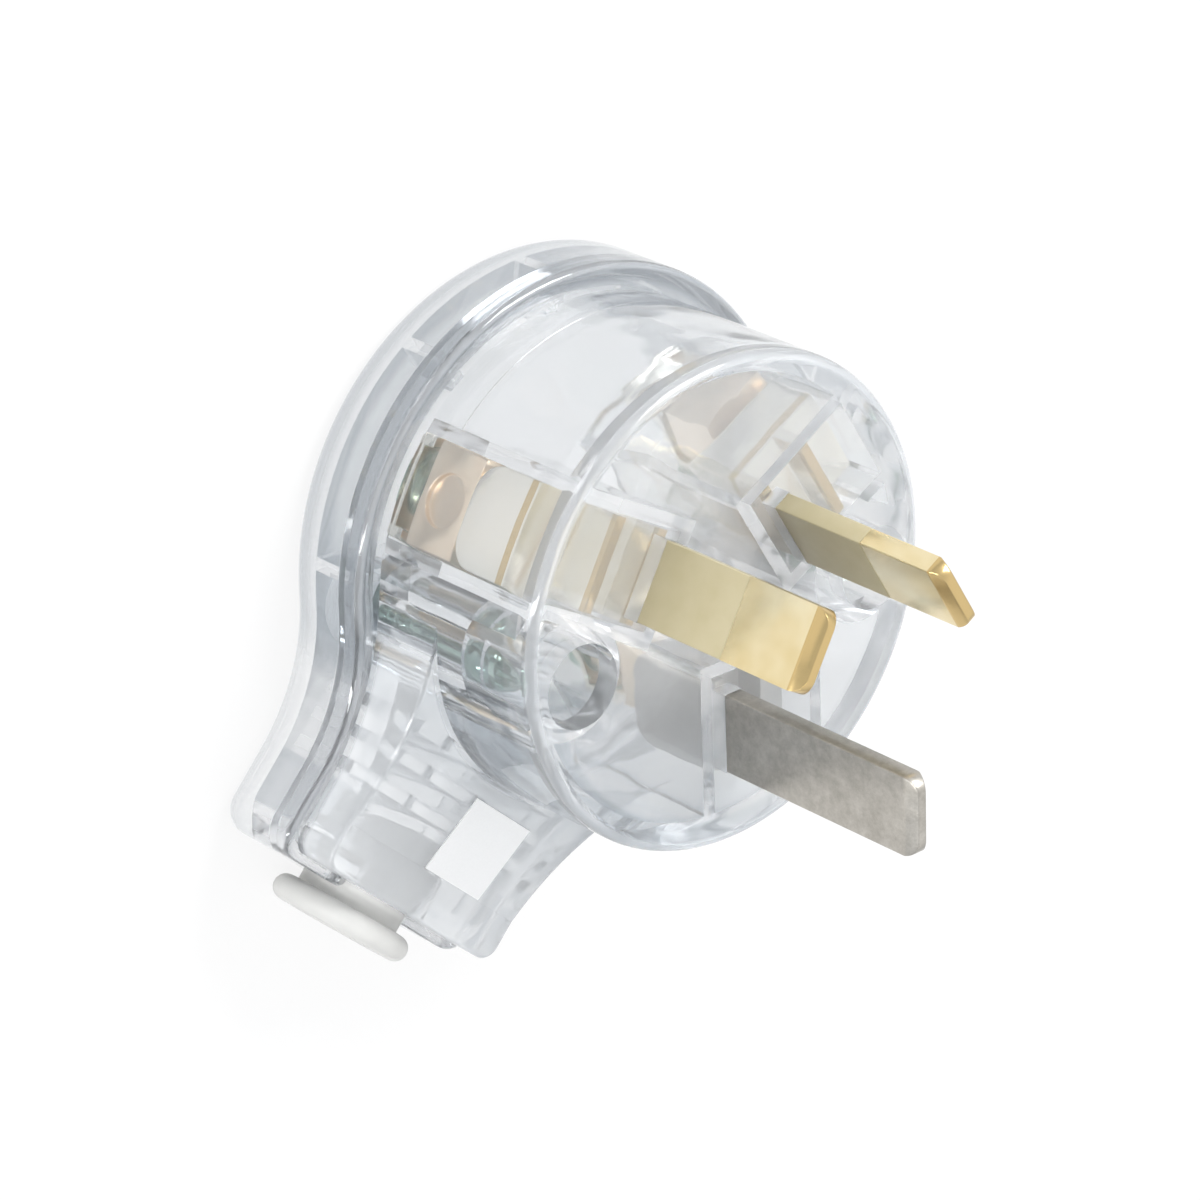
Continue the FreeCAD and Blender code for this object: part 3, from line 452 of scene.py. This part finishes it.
def build_block(tree):
    patches = object_noise(tree, 420.0, detail=3.0)
    cuts = object_noise(tree, 1500.0, detail=3.0, stretch=(0.15, 1.0, 1.0))
    return {
        "Base Color": blend_colours(tree, patches, MILLED_DEEP, MILLED_PALE),
        "Roughness": 0.24 + 0.16 * cuts,
        "Normal": bumped(tree, cuts, 0.12, 0.0002),
    }


ZINC = finish_material("zinc_plate", METAL, build_zinc)
BLOCK = finish_material("milled_brass", METAL, build_block)
print("made", ZINC.name, BLOCK.name)

# %% [markdown]
# The insulation round the necks of the line pins is a hard plastic of an olive cream. It has
# a light gloss over a fine grain, which a thin coat gives without making the colour paler.

# %% The pins' insulation
OLIVE_DEEP, OLIVE_PALE = (0.42, 0.36, 0.20, 1.0), (0.51, 0.45, 0.295, 1.0)


def build_sleeve(tree):
    mottle = object_noise(tree, 420.0, detail=3.0)
    grain = object_noise(tree, 3800.0, detail=2.0)
    return {
        "Base Color": blend_colours(tree, mottle, OLIVE_DEEP, OLIVE_PALE),
        "Roughness": 0.30 + 0.12 * grain,
        "Normal": bumped(tree, grain, 0.10, 0.00008),
    }


SLEEVE = finish_material("pin_insulation", {"Coat Weight": 0.3}, build_sleeve)
print("made", SLEEVE.name)

# %% [markdown]
# The cord bush is soft and cloudy. Light really scatters inside such plastic, which
# Subsurface could show at a high cost. A third of plain transmission stands in for it on so
# small a piece. The part inside the tail is painted whiter, as painted light against the
# tail's tint over it and the shade that falls inside the tail.

# %% The bush's plastic
DISC_DEEP, DISC_PALE = (0.75, 0.745, 0.725, 1.0), (0.85, 0.845, 0.825, 1.0)
INNER_BUSH_PAINTED_LIGHT = (0.98, 0.975, 0.96, 1.0)


def build_bush(tree):
    cloud = object_noise(tree, 500.0, detail=3.0)
    disc = blend_colours(tree, cloud, DISC_DEEP, DISC_PALE)
    # Painted light: the part inside the tail is lighter, against the shade there.
    inside = beyond(tree, plug_place(tree)[2], -TAIL_END, 0.5 - TAIL_END)
    return {
        "Base Color": blend_colours(tree, inside, disc, INNER_BUSH_PAINTED_LIGHT),
        "Roughness": 0.42 + 0.14 * cloud,
        "Normal": bumped(tree, cloud, 0.15, 0.0003),
    }


BUSH = finish_material("soft_bush", {"Transmission Weight": 0.35, "IOR": 1.42}, build_bush)
print("made", BUSH.name)

# %% [markdown]
# The label is matt paper. Its fibres are far too small to model, so a fine noise changes the
# white a little and stands up as a faint bump.

# %% The label's paper
FIBRE_DEEP, FIBRE_PALE = (0.80, 0.80, 0.80, 1.0), (0.88, 0.88, 0.88, 1.0)


def build_paper(tree):
    fibre = object_noise(tree, 5200.0, detail=5.0, roughness=0.7)
    return {
        "Base Color": blend_colours(tree, fibre, FIBRE_DEEP, FIBRE_PALE),
        "Roughness": 0.70 + 0.15 * fibre,
        "Normal": bumped(tree, fibre, 0.25, 0.00005),
    }


PAPER = finish_material("blank_label", {}, build_paper)
print("made", PAPER.name)

# %% [markdown]
# The two shells and the label have their right shape in the CAD already. Their edges are
# rounded there, and a copy would only risk gaps between clear walls, so they stay as they
# are and only take their finish.

# %% Finishes on the kept CAD nodes
KEPT = {"base_housing": CLEAR, "back_cover": CLEAR, "label": PAPER}
for name, material in KEPT.items():
    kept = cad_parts[name]
    kept.data.materials.clear()
    kept.data.materials.append(material)
print("finished", sorted(KEPT))

# %% [markdown]
# Stamped and milled metal never has a knife edge: the burr is tumbled off. A CAD solid has
# one, so each metal piece is a copy of its solid whose triangles are merged back into flat
# faces and whose edges then get a small round from a Bevel modifier. Modelling each round by
# hand would give the same thin line of light, which is most of what makes a small part look
# real, but the modifier also follows the corners.

# %% Copies with softened edges
MERGE_DISTANCE = 0.002 * MM
FLAT_ANGLE, EDGE_ANGLE = math.radians(0.5), math.radians(28)


def finish_piece(piece, node_name, material):
    """Give a finished piece its material, and put it in the place of its CAD node."""
    piece.data.materials.clear()
    piece.data.materials.append(material)
    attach(piece, "root")
    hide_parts(node_name)


def softened(node_name, slot_name, material, width):
    """A copy of a CAD node: triangles merged into flat faces, edges rounded by `width` mm."""
    shape = bmesh.new()
    shape.from_mesh(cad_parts[node_name].data)
    bmesh.ops.remove_doubles(shape, verts=shape.verts, dist=MERGE_DISTANCE)
    bmesh.ops.dissolve_limit(
        shape, angle_limit=FLAT_ANGLE, verts=shape.verts, edges=shape.edges
    )
    for face in shape.faces:
        face.smooth = True
    mesh = bpy.data.meshes.new(f"{node_name}_soft")
    shape.to_mesh(mesh)
    shape.free()
    piece = bpy.data.objects.new(f"{node_name}_soft", mesh)
    bpy.context.scene.collection.objects.link(piece)
    edge = piece.modifiers.new("edge", "BEVEL")
    edge.width = width * MM
    edge.segments = 3
    edge.limit_method = "ANGLE"
    edge.angle_limit = EDGE_ANGLE
    edge.harden_normals = True
    finish_piece(piece, node_name, material)
    return piece


SOFTENED = [
    ("active_pin", "brass", BRASS, 0.14),
    ("neutral_pin", "brass", BRASS, 0.14),
    ("earth_pin", "nickel", NICKEL, 0.14),
    ("active_sleeve", "pin_sleeve", SLEEVE, 0.10),
    ("neutral_sleeve", "pin_sleeve", SLEEVE, 0.10),
]
for line in LINES:
    SOFTENED.append((f"{line}_terminal", "brass", BLOCK, 0.12))
    SOFTENED.append((f"{line}_clamp_plate", "brass", BRASS, 0.10))
for row in SOFTENED:
    made = softened(*row)
    print(made.name, len(made.data.polygons), "faces before the bevel")

# %% [markdown]
# A turned piece is a profile carried round an axis. The Screw modifier could do that, but it
# can't cut a slot or raise a thread. `turned` works the whole surface out as one grid: rows
# follow the profile and columns go round, so a thread is only a ridge whose height depends
# on how far round and how far along a point is.

# %% Turned surfaces


def turned(name, along, radius, columns, recess, thread):
    """A closed surface of revolution about +Z, as arrays.

    Row i lies at height along[i] with radius radius[i], and column j is turned by
    2 pi j / columns: x = radius cos(angle), y = radius sin(angle). `thread(height, angle)` is
    added to the radius and `recess(x, y, row)` to the height. The first and last rows are
    closed with a fan to a point on the axis.
    """
    angle = np.linspace(0.0, 2.0 * np.pi, columns, endpoint=False)
    height = np.repeat(np.asarray(along, float)[:, None], columns, axis=1)
    size = np.repeat(np.asarray(radius, float)[:, None], columns, axis=1)
    size = size + thread(height, angle[None, :])
    x = size * np.cos(angle)
    y = size * np.sin(angle)
    height = height + recess(x, y, np.arange(len(along))[:, None])
    grid = np.stack([x, y, height], axis=-1).reshape(-1, 3)
    rows = len(along)
    ends = np.array([[0.0, 0.0, height[0].mean()], [0.0, 0.0, height[-1].mean()]])
    here = np.arange(rows - 1)[:, None] * columns + np.arange(columns)
    across = np.arange(rows - 1)[:, None] * columns + (np.arange(columns) + 1) % columns
    quads = np.stack([here, across, across + columns, here + columns], axis=-1).reshape(-1, 4)
    first, last = rows * columns, rows * columns + 1
    ring = np.arange(columns)
    onward = (ring + 1) % columns
    low = np.stack([onward, ring, np.full(columns, first)], axis=-1)
    top = (rows - 1) * columns
    high = np.stack([ring + top, onward + top, np.full(columns, last)], axis=-1)
    mesh = bpy.data.meshes.new(name)
    points = np.concatenate([grid, ends]) * MM
    mesh.from_pydata(points.tolist(), [], quads.tolist() + low.tolist() + high.tolist())
    mesh.update()
    return mesh


def spaced(points, steps):
    """Rows along a profile of (radius, height) corners, `steps` of them on each side."""
    radius, along = [points[0][0]], [points[0][1]]
    for (r0, z0), (r1, z1), count in zip(points, points[1:], steps):
        share = np.arange(1, count + 1) / count
        radius.extend(r0 + (r1 - r0) * share)
        along.extend(z0 + (z1 - z0) * share)
    return np.array(along), np.array(radius)


print("turning ready")

# %% [markdown]
# Two formulas shape every thread and recess: a smooth step from 0 to 1, and a tent that
# repeats once a turn. `stand_at` then puts a turned mesh in its place. It moves the mesh and
# not the object, because the export puts every object at the origin.

# %% Threads, recesses and places
SHARP_ANGLE = math.radians(38)


def smooth_step(low, high, value):
    """3 s^2 - 2 s^3, where s is the share of the way from `low` to `high`, kept in 0 to 1."""
    share = np.clip((value - low) / (high - low), 0.0, 1.0)
    return share * share * (3.0 - 2.0 * share)


def ridge(turns, sharpness):
    """A tent over each whole turn: 1 at its middle, falling `sharpness` times as steeply."""
    return np.clip(1.0 - np.abs(turns % 1.0 - 0.5) * sharpness, 0.0, 1.0)


def stand_at(mesh, name, x, y, turn=0.0, flip=False):
    """Put a turned mesh in its place: flipped head down if asked, turned, then moved."""
    if flip:
        mesh.transform(Matrix.Rotation(math.pi, 4, "X"))
    mesh.transform(Matrix.Translation((x * MM, y * MM, 0)) @ Matrix.Rotation(turn, 4, "Z"))
    mesh.update()
    for polygon in mesh.polygons:
        polygon.use_smooth = True
    mesh.set_sharp_from_angle(angle=SHARP_ANGLE)
    piece = bpy.data.objects.new(name, mesh)
    bpy.context.scene.collection.objects.link(piece)
    return piece


print("threads ready")

# %% [markdown]
# The two long screws draw the shells together and cut their own thread in the cover. Their
# lower part is a thin core, then comes a plain shank and a domed head. The profile runs from
# the tip up to the top of the head, with many rows where the thread and the recess need them.

# %% The long screws' profile
SCREW_TIP, SCREW_SEAT, SCREW_TOP = 2.6, 16.2, 18.3
THREAD_END = 8.6
CORE_RADIUS, SHANK_RADIUS, HEAD_RADIUS = 1.08, 1.35, 2.70

corners = [
    (0.45, SCREW_TIP), (CORE_RADIUS, SCREW_TIP + 1.5), (CORE_RADIUS, THREAD_END + 0.8),
    (SHANK_RADIUS, THREAD_END + 1.0), (SHANK_RADIUS, SCREW_SEAT),
    (HEAD_RADIUS, SCREW_SEAT + 0.04), (HEAD_RADIUS, SCREW_SEAT + 0.9), (2.52, 17.55),
    (2.12, 17.98), (1.60, 18.20), (0.05, SCREW_TOP),
]
steps = [16, 62, 2, 12, 4, 3, 3, 3, 4, 26]
along, radius = spaced(corners, steps)
head_row = 1 + sum(steps[:6])
print("profile of", len(along), "rows")

# %% [markdown]
# The thread is a coarse, sharp ridge on the core, and the head has a cross recess. The CAD
# keeps the thread off, because it is too fine for a solid. On the grid each is one formula,
# and the two screws differ only in their place.

# %% The long screws
THREAD_PITCH, THREAD_HEIGHT, THREAD_SHARPNESS = 1.15, 0.42, 3.4
CROSS_DEPTH, CROSS_REACH, CROSS_TURN = 1.05, 1.5, 0.4
SCREW_PLACES = {"right": (11.782, 8.623), "left": (-9.424, -11.151)}


def screw_thread(height, angle):
    """A ridge that climbs one pitch a turn, fading in at the tip and out at the shank."""
    fade = smooth_step(SCREW_TIP, SCREW_TIP + 1.2, height)
    fade = fade * (1.0 - smooth_step(THREAD_END, THREAD_END + 0.8, height))
    turns = height / THREAD_PITCH - angle / (2.0 * np.pi)
    return THREAD_HEIGHT * ridge(turns, THREAD_SHARPNESS) * fade


def cross_recess(x, y, row):
    """Two crossing slots in the head: deep where a point is near either arm."""
    near = np.minimum(np.abs(x), np.abs(y))
    reach = np.maximum(np.abs(x), np.abs(y))
    inside = 1.0 - smooth_step(0.28, 0.42, near)
    inside = inside * (1.0 - smooth_step(CROSS_REACH - 0.3, CROSS_REACH, reach))
    return -CROSS_DEPTH * inside * (row >= head_row)


for side, (x, y) in SCREW_PLACES.items():
    mesh = turned(f"screw_{side}", along, radius, 96, cross_recess, screw_thread)
    screw = stand_at(mesh, f"long_screw_{side}", x, y, turn=CROSS_TURN)
    finish_piece(screw, f"assembly_screw_{side}", ZINC)
    print(screw.name, len(mesh.polygons), "faces")

# %% [markdown]
# The terminal screws press the wires into their blocks. They stand head down, so that a
# driver reaches them once the cover is off, and have a finer thread and a plain slot. They
# are turned upright and then flipped, so their profile is written with negative heights.

# %% The terminal screws
HEAD_LOW, HEAD_HIGH, SCREW_HIGH = 4.5, 6.2, 12.6
FINE_PITCH, FINE_HEIGHT, FINE_SHARPNESS = 0.7, 0.26, 2.4
FINE_START, FINE_END = (-12.3, -11.8), (-7.0, -6.6)
SLOT_DEPTH, SLOT_TURN, SLOT_STEP = 0.85, 0.5, 1.1

corners = [
    (0.6, -SCREW_HIGH), (1.24, -12.1), (1.24, -HEAD_HIGH), (2.58, -HEAD_HIGH + 0.02),
    (2.58, -5.1), (2.40, -4.70), (2.05, -4.54), (0.05, -HEAD_LOW),
]
steps = [4, 70, 4, 3, 4, 3, 22]
along, radius = spaced(corners, steps)
slot_row = 1 + sum(steps[:4])


def fine_thread(height, angle):
    """A finer ridge on the shank only, measured on the screw as it stands head down."""
    fade = smooth_step(*FINE_START, height) * (1.0 - smooth_step(*FINE_END, height))
    turns = height / FINE_PITCH + angle / (2.0 * np.pi)
    return FINE_HEIGHT * ridge(turns, FINE_SHARPNESS) * fade


def slot_recess(x, y, row):
    """One slot right across the head."""
    return -SLOT_DEPTH * (1.0 - smooth_step(0.32, 0.42, np.abs(y))) * (row >= slot_row)


for index, line in enumerate(LINES):
    low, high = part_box(f"{line}_terminal_screw")
    x, y = ((low[axis] + high[axis]) / 2 / MM for axis in (0, 1))
    mesh = turned(f"{line}_screw", along, radius, 80, slot_recess, fine_thread)
    turn = SLOT_TURN + SLOT_STEP * index
    screw = stand_at(mesh, f"slotted_screw_{line}", x, y, turn, flip=True)
    finish_piece(screw, f"{line}_terminal_screw", ZINC)
    print(screw.name, len(mesh.polygons), "faces")

# %% [markdown]
# The cord bush lies on another axis and has a hole right through, so it has no ends to
# close. Its profile is closed on itself instead, and becomes a ring when it is carried round
# the cord's axis. A torus and some cylinders could be joined to the same shape, but then
# every join would be a seam to close.

# %% A ring round the cord
CORD_HEIGHT = 5.8


def ring_about_cord(name, profile, columns=128):
    """A closed profile of (distance along -Y, radius) corners carried round the cord's axis.

    Column j is turned by 2 pi j / columns: x = radius cos(angle), y = -distance and
    z = radius sin(angle) + CORD_HEIGHT. Both directions of the grid close on themselves.
    """
    loop = np.asarray(profile, float)
    angle = np.linspace(0.0, 2.0 * np.pi, columns, endpoint=False)
    reach = loop[:, 1][:, None]
    x = reach * np.cos(angle)
    z = reach * np.sin(angle) + CORD_HEIGHT
    y = np.repeat(-loop[:, 0][:, None], columns, axis=1)
    grid = np.stack([x, y, z], axis=-1).reshape(-1, 3)
    row = np.arange(len(loop))[:, None]
    onward = (row + 1) % len(loop)
    column = np.arange(columns)
    beside = (column + 1) % columns
    quads = np.stack(
        [row * columns + column, onward * columns + column,
         onward * columns + beside, row * columns + beside], axis=-1
    ).reshape(-1, 4)
    mesh = bpy.data.meshes.new(name)
    mesh.from_pydata((grid * MM).tolist(), [], quads.tolist())
    mesh.update()
    return mesh


print("rings ready")

# %% [markdown]
# The bush keeps the sheath from the hole's sharp edge. It is one soft moulding: an outer disc
# with a full round edge, a neck that sits in the hole of the end wall, a collar behind the
# wall and a thin tube. All of them are corners and arcs of the one profile, which runs from
# the bore round the disc and back along the outside.

# %% The cord bush
BORE, TUBE_RADIUS, NECK_RADIUS, COLLAR_RADIUS = 3.5, 3.85, 4.2, 4.80
TUBE_START, COLLAR_START, COLLAR_END = 25.04, 27.64, 29.24
DISC_START, DISC_MIDDLE, DISC_END = 32.7, 33.70, 34.70
DISC_ROUND, LIP_ROUND, COLLAR_ROUND = 1.00, 0.25, 0.18


def arc(along, radius, size, start, end, count=7):
    """Points of a circle in the profile: centre plus size times (cos, sin), in degrees."""
    turn = np.radians(np.linspace(start, end, count))
    return [(along + size * math.cos(a), radius + size * math.sin(a)) for a in turn]


collar_arc = COLLAR_RADIUS - COLLAR_ROUND
bush_profile = (
    [(TUBE_START, BORE)]
    + arc(DISC_END - LIP_ROUND, BORE + LIP_ROUND, LIP_ROUND, -90, 0)
    + arc(DISC_MIDDLE, 4.70, DISC_ROUND, 0, 180, 21)
    + [(DISC_START, NECK_RADIUS), (COLLAR_END, NECK_RADIUS)]
    + arc(COLLAR_END - COLLAR_ROUND, collar_arc, COLLAR_ROUND, 0, 90, 4)
    + arc(COLLAR_START + COLLAR_ROUND, collar_arc, COLLAR_ROUND, 90, 180, 4)
    + [(COLLAR_START, TUBE_RADIUS), (TUBE_START + 0.1, TUBE_RADIUS)]
)
mesh = ring_about_cord("bush", bush_profile)
bush = stand_at(mesh, "soft_cord_bush", 0, 0)
finish_piece(bush, "cord_grommet", BUSH)
print(bush.name, len(mesh.polygons), "faces")

# %% [markdown]
# The plug lies on its back on a plain white table. A very bright lamp could make the table
# white, but it would bleach the plug as well. So the table glows for the camera, for
# reflections and for rays that pass the clear plastic, and keeps a share of real shading,
# which holds the shadow.

# %% The table
TABLE_HALF = 1.5
CAMERA_GLOW, PLASTIC_GLOW = 0.85, 0.92


def grey(level):
    return (level, level, level, 1.0)


def table_glow(tree):
    """The share of glow a ray sees, by the kind of ray, kept under 1."""
    direct = node(tree, "ShaderNodeLightPath", output="Is Camera Ray")
    glossy = node(tree, "ShaderNodeLightPath", output="Is Glossy Ray")
    through = node(tree, "ShaderNodeLightPath", output="Is Transmission Ray")
    seen = direct * CAMERA_GLOW + (glossy + through) * PLASTIC_GLOW
    clamped = {"operation": "MULTIPLY", "use_clamp": True}
    return node(tree, "ShaderNodeMath", clamped, {0: seen, 1: 1.0})


table_mesh = bpy.data.meshes.new("table")
table_mesh.from_pydata(
    [(-TABLE_HALF, -TABLE_HALF, 0), (TABLE_HALF, -TABLE_HALF, 0),
     (TABLE_HALF, TABLE_HALF, 0), (-TABLE_HALF, TABLE_HALF, 0)],
    [], [(0, 1, 2, 3)],
)
table_top = bpy.data.objects.new("table", table_mesh)
bpy.context.scene.collection.objects.link(table_top)
table_paint = bpy.data.materials.new("white_table")
table_paint.use_nodes = True
tree = table_paint.node_tree
tree.nodes.clear()
paint = node(tree, "ShaderNodeBsdfDiffuse", {}, {"Color": grey(0.86)})
glow = node(tree, "ShaderNodeEmission", {}, {"Color": grey(1.0), "Strength": 1.0})
mixed = node(tree, "ShaderNodeMixShader", {}, {0: table_glow(tree), 1: paint, 2: glow})
node(tree, "ShaderNodeOutputMaterial", {}, {"Surface": mixed})
table_mesh.materials.append(table_paint)
print("table", TABLE_HALF * 2, "m wide")

# %% [markdown]
# Clear things show their edges only where something darker stands round them. A photographer
# puts up grey cards. Here the room is brightest high up behind the plug, dimmer overhead and
# on the photographer's own side, and a cool grey low down, which is meant to darken the rims.
# The camera itself sees plain white. Glossy and transmission rays could be given that white
# too, as the table gives them, but here they keep the greys, so what the plastic bends and
# the metal mirrors is darker than the background round the plug.

# %% The room
LOW_ROOM, HIGH_ROOM = 0.66, 1.05
NEAR_SIDE = 0.45

world = bpy.data.worlds.new("studio")
bpy.context.scene.world = world
world.use_nodes = True
tree = world.node_tree
tree.nodes.clear()
direction = node(tree, "ShaderNodeTexCoord", output="Generated")
toward = node(
    tree, "ShaderNodeVectorMath", {"operation": "DOT_PRODUCT"},
    {0: direction, 1: tuple(CAMERA_BACK)}, output="Value",
)
near = node(
    tree, "ShaderNodeMapRange", {"interpolation_type": "SMOOTHSTEP"},
    {"Value": toward, "From Min": 0.0, "From Max": 0.9, "To Min": 1.0, "To Max": NEAR_SIDE},
)
level = node(tree, "ShaderNodeSeparateXYZ", {}, {"Vector": direction}, output="Z")
high = node(
    tree, "ShaderNodeMapRange", {"interpolation_type": "SMOOTHSTEP"},
    {"Value": level, "From Min": -0.1, "From Max": 0.6, "To Min": 0.0, "To Max": 1.0},
)
direct = node(tree, "ShaderNodeLightPath", output="Is Camera Ray")
lit = node(
    tree, "ShaderNodeMath", {"operation": "ADD", "use_clamp": True}, {0: near * high, 1: direct}
)
low_room = node(
    tree, "ShaderNodeBackground", {}, {"Color": (0.90, 0.95, 1.0, 1.0), "Strength": LOW_ROOM}
)
high_room = node(
    tree, "ShaderNodeBackground", {}, {"Color": grey(1.0), "Strength": HIGH_ROOM}
)
room = node(tree, "ShaderNodeMixShader", {}, {0: lit, 1: low_room, 2: high_room})
node(tree, "ShaderNodeOutputWorld", {}, {"Surface": room})
print("room ready")

# %% [markdown]
# Two lamps finish the light: a broad one behind the plug draws long highlights on the
# barrel, and a narrow one beside the camera lights the pins. Area lamps are used because
# their own shape shows in the plastic, as a softbox does.

# %% Lamps
LAMP_TARGET = Vector((0, 0, 0.01))


def lamp(name, place, size, power):
    """A rectangular area lamp at `place` that faces the plug."""
    light = bpy.data.lights.new(name, "AREA")
    light.shape = "RECTANGLE"
    light.size, light.size_y = size
    light.energy = power
    holder = bpy.data.objects.new(name, light)
    look = LAMP_TARGET - Vector(place)
    holder.matrix_world = (
        Matrix.Translation(place) @ look.to_track_quat("-Z", "Y").to_matrix().to_4x4()
    )
    bpy.context.scene.collection.objects.link(holder)
    print(name, "lamp of", power, "W")


lamp("key", (-0.10, 0.42, 0.40), (0.30, 0.20), 3.2)
lamp("strip", (-0.36, -0.30, 0.22), (0.05, 0.35), 1.2)
